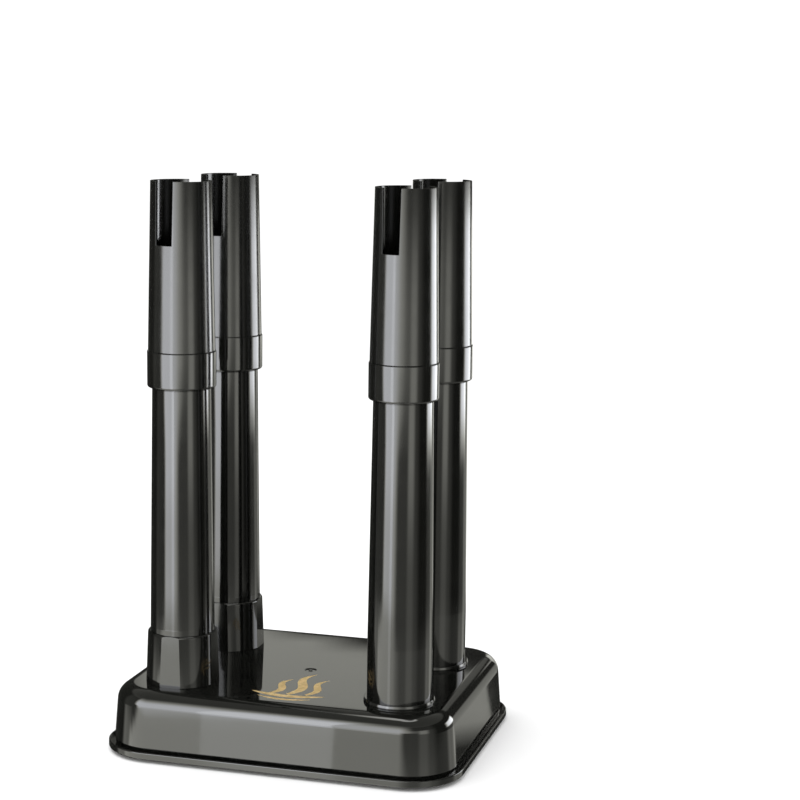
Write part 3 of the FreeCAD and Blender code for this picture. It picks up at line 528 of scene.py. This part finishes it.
def make_gland():
    """Bush in the back wall, square to the drafted wall."""
    height = GLAND_HEIGHT * MM
    wall_y = shell_high.y - (height - shell_low.z) * math.tan(WALL_DRAFT)
    bm = bmesh.new()
    lathe(bm, rounded([
        (3.6, -8.8), (7.2, -8.8, 0.3), (8.4, -5.3, 0.3), (8.4, -2.8), (6.4, -2.8), (6.4, 0.0),
        (9.5, 0.0), (9.5, 1.6, 0.4), (7.3, 3.2, 0.6), (4.2, 3.2, 0.5), (3.6, 2.6, 0.3)]),
        closed=True, segments=96)
    turned = Matrix.Rotation(-math.pi / 2 + WALL_DRAFT, 4, "X")
    bm.transform(Matrix.Translation((0, wall_y, height)) @ turned)
    make_piece(bm, "inlet_bush", "root", "gland_plastic", "cord_gland")


def make_emblem():
    """Generic gold mark on the deck: three plumes of warm air over a pair of curved strokes."""
    bm = bmesh.new()
    level, thickness = DECK, 0.05 * MM

    def stroke(spine, widths):
        """A flat tapered band along a line of points, with a little thickness."""
        left, right = [], []
        for k, point in enumerate(spine):
            before = spine[max(k - 1, 0)]
            after = spine[min(k + 1, len(spine) - 1)]
            along = (after - before).normalized()
            across = Vector((-along.y, along.x)) * widths[k] / 2
            left.append(point + across)
            right.append(point - across)
        loops = []
        for z in (level - thickness, level + thickness):
            loops.append(ring(bm, [Vector((p.x * MM, p.y * MM, z)) for p in left + right[::-1]]))
        bridge(bm, loops)
        count = len(left)
        for loop in loops:
            for k in range(count - 1):
                bm.faces.new((loop[k], loop[k + 1], loop[-2 - k], loop[-1 - k]))

    steps = 28
    plumes = ((-12.0, -80.0, -38.0, 4.0, 6.4), (3.0, -79.0, -19.0, 5.0, 8.2),
              (18.0, -77.0, -33.0, 4.0, 6.4))
    for x, foot, top, sway, width in plumes:
        spine, widths = [], []
        for k in range(steps + 1):
            t = k / steps
            spine.append(Vector((x + sway * math.sin(2 * math.pi * t) + 7.0 * t,
                                 foot + (top - foot) * t)))
            widths.append(width * math.sin(math.pi * min(1.0, 0.12 + t * 0.9)) ** 0.8 + 0.05)
        stroke(spine, widths)
    for y, reach, bow, width in ((-84.0, 32.0, 7.0, 6.0), (-93.0, 23.0, 5.0, 3.2)):
        spine, widths = [], []
        for k in range(steps + 1):
            t = 2.0 * k / steps - 1.0
            spine.append(Vector((3.0 + reach * t, y + bow * t * t)))
            widths.append(width * (1 - t * t) ** 0.7 + 0.05)
        stroke(spine, widths)
    make_piece(bm, "emblem", "root", "emblem_foil", None)


# ---------------------------------------------------------------- stacks

def make_collar(port):
    """Faceted sleeve round a left-hand port: four flats on a cone with a rounded top."""
    x, y = PORT_CENTRES[port]
    height, bore = 43.9, 27.3
    facet_foot, facet_top = 29.4, 28.2
    line = rounded([(30.4, 0.0), (30.8, 0.4), (29.2, height, 1.75), (27.35, height)], 6.0)
    columns_flat, columns_round = 10, 26
    outer, inner = [], []
    for point in line:
        radius, z = point.x / MM, point.y / MM
        flat = facet_foot + (facet_top - facet_foot) * z / height
        half = math.acos(min(1.0, flat / radius))
        outer_row, inner_row = [], []
        for facet in range(4):
            middle = -math.pi / 2 + facet * math.pi / 2
            angles = [(-half + 2 * half * k / columns_flat, True) for k in range(columns_flat)]
            span = math.pi / 2 - 2 * half
            angles += [(half + span * k / columns_round, False) for k in range(columns_round)]
            for offset, on_flat in angles:
                reach = min(radius, flat / math.cos(offset)) if on_flat else radius
                cos, sin = math.cos(middle + offset), math.sin(middle + offset)
                outer_row.append(Vector((x + reach * cos * MM, y + reach * sin * MM, DECK + z * MM)))
                inner_row.append(Vector((x + bore * cos * MM, y + bore * sin * MM, DECK + z * MM)))
        outer.append(outer_row)
        inner.append(inner_row)
    bm = bmesh.new()
    thick_grid(bm, outer, inner, lambda i, j: True)
    make_piece(bm, f"collar_{port}", "root", "collar_abs", f"port_collar_{port}", sharp=8.0)


def make_ring(port):
    """Plain ring on the foot of a right-hand tube."""
    x, y = PORT_CENTRES[port]
    bm = bmesh.new()
    lathe(bm, rounded([(27.0, 0.0), (29.7, 0.0, 0.3), (29.7, 1.2, 0.6), (29.1, 3.2, 0.5),
                       (27.0, 3.2)], 6.0), x, y, DECK, closed=True)
    make_piece(bm, f"ring_{port}", f"lower_{port}", "collar_abs", f"shoulder_ring_{port}")


def make_lower_tube(port):
    """Tapered tube with a port spigot, a straight foot band and a coupling spigot. The band
    ends in a fine step on the left-hand tubes."""
    x, y = PORT_CENTRES[port]
    step = 0.06 if port.endswith("left") else 0.0
    bm = bmesh.new()
    lathe(bm, rounded([
        (23.4, -22.0), (24.8, -22.0, 0.4), (25.6, -20.0, 0.5), (25.6, 0.0), (26.7, 0.0, 0.3),
        (27.0, 0.3), (27.0, 48.7, 0.1), (27.0 - step, 49.0), (24.6, 250.6, 0.4),
        (24.4, 250.8), (24.4, 268.0, 0.4), (22.2, 268.0, 0.4), (22.2, 250.6), (24.8, 48.9),
        (24.8, 4.0), (23.4, 1.0)]), x, y, DECK, closed=True)
    make_piece(bm, f"tube_{port}", f"lower_{port}", "tube_abs", f"lower_tube_{port}")


def make_coupling(port):
    """Turning sleeve with a rounded lower edge, a web inside and a small lead-in on top."""
    x, y = PORT_CENTRES[port]
    bm = bmesh.new()
    lathe(bm, rounded([
        (24.7, 251.6), (28.6, 251.6, 2.0), (28.6, 281.8, 0.5), (26.3, 281.8, 0.2),
        (26.1, 281.4, 0.2), (26.1, 270.0), (22.2, 270.0, 0.3), (22.2, 268.1, 0.3),
        (24.7, 268.1)]), x, y, DECK, closed=True)
    make_piece(bm, f"sleeve_{port}", f"grip_{port}", "coupling_abs", f"coupling_{port}")


def make_upper_tube(port):
    """Tapered outlet tube with a notch in its front and back."""
    x, y = PORT_CENTRES[port]
    foot, top, floor = 282.3, 422.0, 370.0
    foot_radius, top_radius, spigot = 27.86, 25.2, 25.8
    half_width, flare, twist = 7.6, 0.6, math.radians(-13.0)
    body_levels = [foot + 0.01, foot + 6.0] + [floor * t + foot * (1 - t) for t in (0.3, 0.65)]
    levels = [(270.0, spigot - 0.3), (270.3, spigot), (foot, spigot)]
    for z in body_levels + [floor, 387.0, 404.0, top - 0.4, top]:
        levels.append((z, foot_radius + (top_radius - foot_radius) * (z - foot) / (top - foot)))
    notch_columns, side_columns = 12, 60
    outer, inner = [], []
    for z, radius in levels:
        wall = 2.2 if z > foot + 5 else radius - (spigot - 2.2)
        width = half_width + flare * max(0.0, z - floor) / (top - floor)
        for reach, rows in ((radius, outer), (radius - wall, inner)):
            half = math.asin(width / reach)
            row = []
            for side in (0, 1):
                middle = twist - math.pi / 2 + side * math.pi
                row += [middle - half + 2 * half * k / notch_columns for k in range(notch_columns)]
                span = math.pi - 2 * half
                row += [middle + half + span * k / side_columns for k in range(side_columns)]
            rows.append([Vector((x + reach * math.cos(a) * MM, y + reach * math.sin(a) * MM,
                                 DECK + z * MM)) for a in row])
    floor_level = [z for z, _ in levels].index(floor)
    half_turn = notch_columns + side_columns

    def keep(level, column):
        return level < floor_level or column % half_turn >= notch_columns

    bm = bmesh.new()
    thick_grid(bm, outer, inner, keep)
    outlet = make_piece(bm, f"outlet_{port}", f"upper_{port}", "tube_abs",
                        f"upper_tube_{port}", sharp=40.0, bevel=0.45 * MM)
    outlet.data.materials[0] = SATIN_TUBE


make_housing()
for port in PORTS:
    make_socket(port)
make_pan()
make_feet()
make_gland()
make_emblem()
for port in PORTS:
    if port.endswith("left"):
        make_collar(port)
    else:
        make_ring(port)
    make_lower_tube(port)
    make_coupling(port)
    make_upper_tube(port)


# ---------------------------------------------------------------- camera

def make_camera():
    """The viewing angle: a long lens, a little above and to the right of the front. Returns
    the level directions towards the camera and to its right."""
    yaw, pitch, roll = 0.2694, 0.1609, 0.0141
    distance, focal_length = 1.67891, 90.305
    target = Vector((0.07683, -0.0073, 0.2985))
    back = Vector((math.sin(yaw) * math.cos(pitch), -math.cos(yaw) * math.cos(pitch),
                   math.sin(pitch)))
    right = (-back).cross(Vector((0, 0, 1))).normalized()
    up = right.cross(-back)
    rolled_right = math.cos(roll) * right + math.sin(roll) * up
    rolled_up = -math.sin(roll) * right + math.cos(roll) * up
    data = bpy.data.cameras.new("camera")
    data.sensor_width = 36.0
    data.lens = focal_length
    camera = bpy.data.objects.new("camera", data)
    turned = Matrix((rolled_right, rolled_up, back)).transposed().to_4x4()
    camera.matrix_world = Matrix.Translation(target + back * distance) @ turned
    bpy.context.scene.collection.objects.link(camera)
    bpy.context.scene.camera = camera
    return Vector((math.sin(yaw), -math.cos(yaw), 0)), Vector((math.cos(yaw), math.sin(yaw), 0))


FRONT, RIGHT = make_camera()


# ---------------------------------------------------------------- studio

def smooth(value, low, high):
    """0 below low, 1 above high, and an even rise between."""
    t = min(1.0, max(0.0, (value - low) / (high - low)))
    return t * t * (3 - 2 * t)


def within(value, low, high, low_soft, high_soft):
    """1 between low and high, fading to 0 over low_soft below and high_soft above."""
    return smooth(value, low - low_soft, low) * (1 - smooth(value, high, high + high_soft))


# Azimuths where the light changes in one hard step
PANEL_EDGES = (-36.6, -27.9, 142.9)


def key_level(azimuth, elevation):
    """The main wall of light on the left: brightest in the middle panel of three."""
    low = 1 - smooth(elevation, -10, -7)
    high = smooth(elevation, 3, 8)
    outer = -60.5 - 18 * low - 5 * high
    across = smooth(azimuth, outer - 5, outer + 5)
    across *= 1 - smooth(azimuth, -27, -8 + 13 * low + 22 * high)
    panel = 0.78 if azimuth < PANEL_EDGES[0] else 1.0 if azimuth < PANEL_EDGES[1] else 0.62
    upright = 0.36 + 0.06 * smooth(elevation, -17, -12)
    upright += 0.34 * smooth(elevation, -7.3, -6.3) + 0.24 * smooth(elevation, -2, 3.5)
    return 11.0 * across * panel * upright * (1 - smooth(elevation, 18, 50))


def glow(azimuth, elevation):
    """Brightness of the light tent. Azimuth is in degrees round from the camera's side and
    elevation in degrees above the horizon. The levels are fitted, not a plain studio's: they
    put the highlights on the gloss where the reference view has them."""
    low = 1 - smooth(elevation, -10, -7)
    under_22 = 1 - smooth(elevation, 16, 22)
    surround = 0.28 * within(azimuth, -92, 48, 14, 20) * (1 - smooth(elevation, 30, 50))
    low_right = 0.35 * low * within(azimuth, 0, 100, 12, 12)
    low_left = 1.1 * low * within(azimuth, -93, -78, 10, 5)
    front = 0.25 * within(azimuth, -20, 48, 10, 20) * (1 - smooth(elevation, 16, 24))
    ceiling = 0.40 * smooth(elevation, 36, 42) + 5.0 * smooth(elevation, 76, 80)
    right_strip = (0.6 + 2.0 * smooth(elevation, -4, 5)) * within(azimuth, 28, 36, 11, 13)
    front_strip = 1.1 * smooth(elevation, 4, 9) * within(azimuth, 2, 14, 12, 12)
    back_strip = (0.3 + 0.5 * low + 9.0 * smooth(elevation, 1.5, 7)) \
        * within(azimuth, 103, 126, 13, 8) * (1 - smooth(elevation, 18, 23))
    right_wall = 0.0
    if azimuth < PANEL_EDGES[2]:
        right_wall = 0.62 * smooth(azimuth, 117, 126) * smooth(elevation, -16, -14) \
            * (1 - smooth(elevation, 5, 10))
    edge_strip = (0.9 + 0.9 * smooth(elevation, 6, 9)) * within(azimuth, 147, 160, 3, 6) \
        * smooth(elevation, -10, -7) * (1 - smooth(elevation, 17, 20))
    back_spot = 0.3 * within(azimuth, 152, 168, 5, 4) * within(elevation, 22, 27, 1.5, 3)
    turned = azimuth if azimuth < 0 else azimuth - 360
    sill = 17.3 - 0.2 * (turned + 177.5)
    window = 0.86 * within(turned, -190, -166, 4, 4) \
        * smooth(elevation, sill - 0.5, sill + 0.5) * (1 - smooth(elevation, 22.4, 23.6))
    return (0.05 + key_level(azimuth, elevation) + surround + low_right + low_left + front
            + ceiling + (right_strip + front_strip) * under_22 + back_strip + right_wall
            + edge_strip + back_spot + window)


def tinted(level):
    """Bright cloth is faintly blue and the dim surroundings are faintly warm."""
    bright = smooth(level, 3.0, 9.0)
    return level * (1.0 - 0.02 * bright), level, level * (0.91 + 0.13 * bright), 1


def make_tent():
    """A round tent of lit cloth that only reflections see."""
    radius, rows, columns = 1.2, 176, 720
    low, high = -52.0, 89.0
    edge_width = 0.02
    azimuths = [360 * k / columns - 180 for k in range(columns)]
    for edge in PANEL_EDGES:
        azimuths += [edge - edge_width, edge + edge_width]
    azimuths.sort()
    bm = bmesh.new()
    layer = bm.verts.layers.float_color.new("glow")
    rings = []
    for row in range(rows + 1):
        elevation = low + (high - low) * row / rows
        e = math.radians(elevation)
        height = Vector((0, 0, math.sin(e)))
        this = []
        for azimuth in azimuths:
            a = math.radians(azimuth)
            flat = FRONT * math.cos(a) + RIGHT * math.sin(a)
            vertex = bm.verts.new((flat * math.cos(e) + height) * radius)
            vertex[layer] = tinted(glow(azimuth, elevation))
            this.append(vertex)
        rings.append(this)
    bridge(bm, rings)
    for loop in (rings[0], rings[-1]):
        cap(bm, loop)
    mesh = bpy.data.meshes.new("light_tent")
    bm.to_mesh(mesh)
    bm.free()
    material = bpy.data.materials.new("light_tent")
    material.use_nodes = True
    tree = material.node_tree
    tree.nodes.clear()
    attribute = tree.nodes.new("ShaderNodeAttribute")
    attribute.attribute_name = "glow"
    emission = tree.nodes.new("ShaderNodeEmission")
    output = tree.nodes.new("ShaderNodeOutputMaterial")
    tree.links.new(attribute.outputs["Color"], emission.inputs["Color"])
    tree.links.new(emission.outputs["Emission"], output.inputs["Surface"])
    material.cycles.emission_sampling = "NONE"
    mesh.materials.append(material)
    tent = bpy.data.objects.new("light_tent", mesh)
    tent.visible_camera = False
    tent.visible_diffuse = False
    tent.visible_shadow = False
    tent.visible_transmission = False
    bpy.context.scene.collection.objects.link(tent)


def make_floor():
    """A wide pale floor, faintly mottled."""
    bm = bmesh.new()
    cap(bm, ring(bm, circle_points(0, 0, 0, 12.0, 96)))
    mesh = bpy.data.meshes.new("floor")
    bm.to_mesh(mesh)
    bm.free()
    n = Nodes("floor")
    n.link(n.ramp(n.noise(3.0), (0.84, 0.84, 0.84), (0.87, 0.87, 0.87)),
           n.shader.inputs["Base Color"])
    n.shader.inputs["Roughness"].default_value = 0.9
    n.shader.inputs["Specular IOR Level"].default_value = 0.0
    mesh.materials.append(n.material)
    floor = bpy.data.objects.new("floor", mesh)
    floor.visible_glossy = False
    bpy.context.scene.collection.objects.link(floor)


def make_lights():
    """Even white surroundings and one large soft light overhead."""
    world = bpy.data.worlds.new("studio")
    world.use_nodes = True
    background = world.node_tree.nodes["Background"]
    background.inputs["Color"].default_value = (1, 1, 1, 1)
    background.inputs["Strength"].default_value = 1.25
    bpy.context.scene.world = world
    data = bpy.data.lights.new("overhead", "AREA")
    data.shape = "RECTANGLE"
    data.size, data.size_y = 1.6, 1.6
    data.energy = 18.0
    light = bpy.data.objects.new("overhead", data)
    light.location = (-0.5, -0.3, 1.9)
    aim = Vector((0, 0, 0.1)) - light.location
    light.rotation_euler = aim.to_track_quat("-Z", "Y").to_euler()
    light.visible_camera = False
    light.visible_glossy = False
    bpy.context.scene.collection.objects.link(light)


make_tent()
make_floor()
make_lights()
bpy.context.scene.view_settings.view_transform = "Standard"
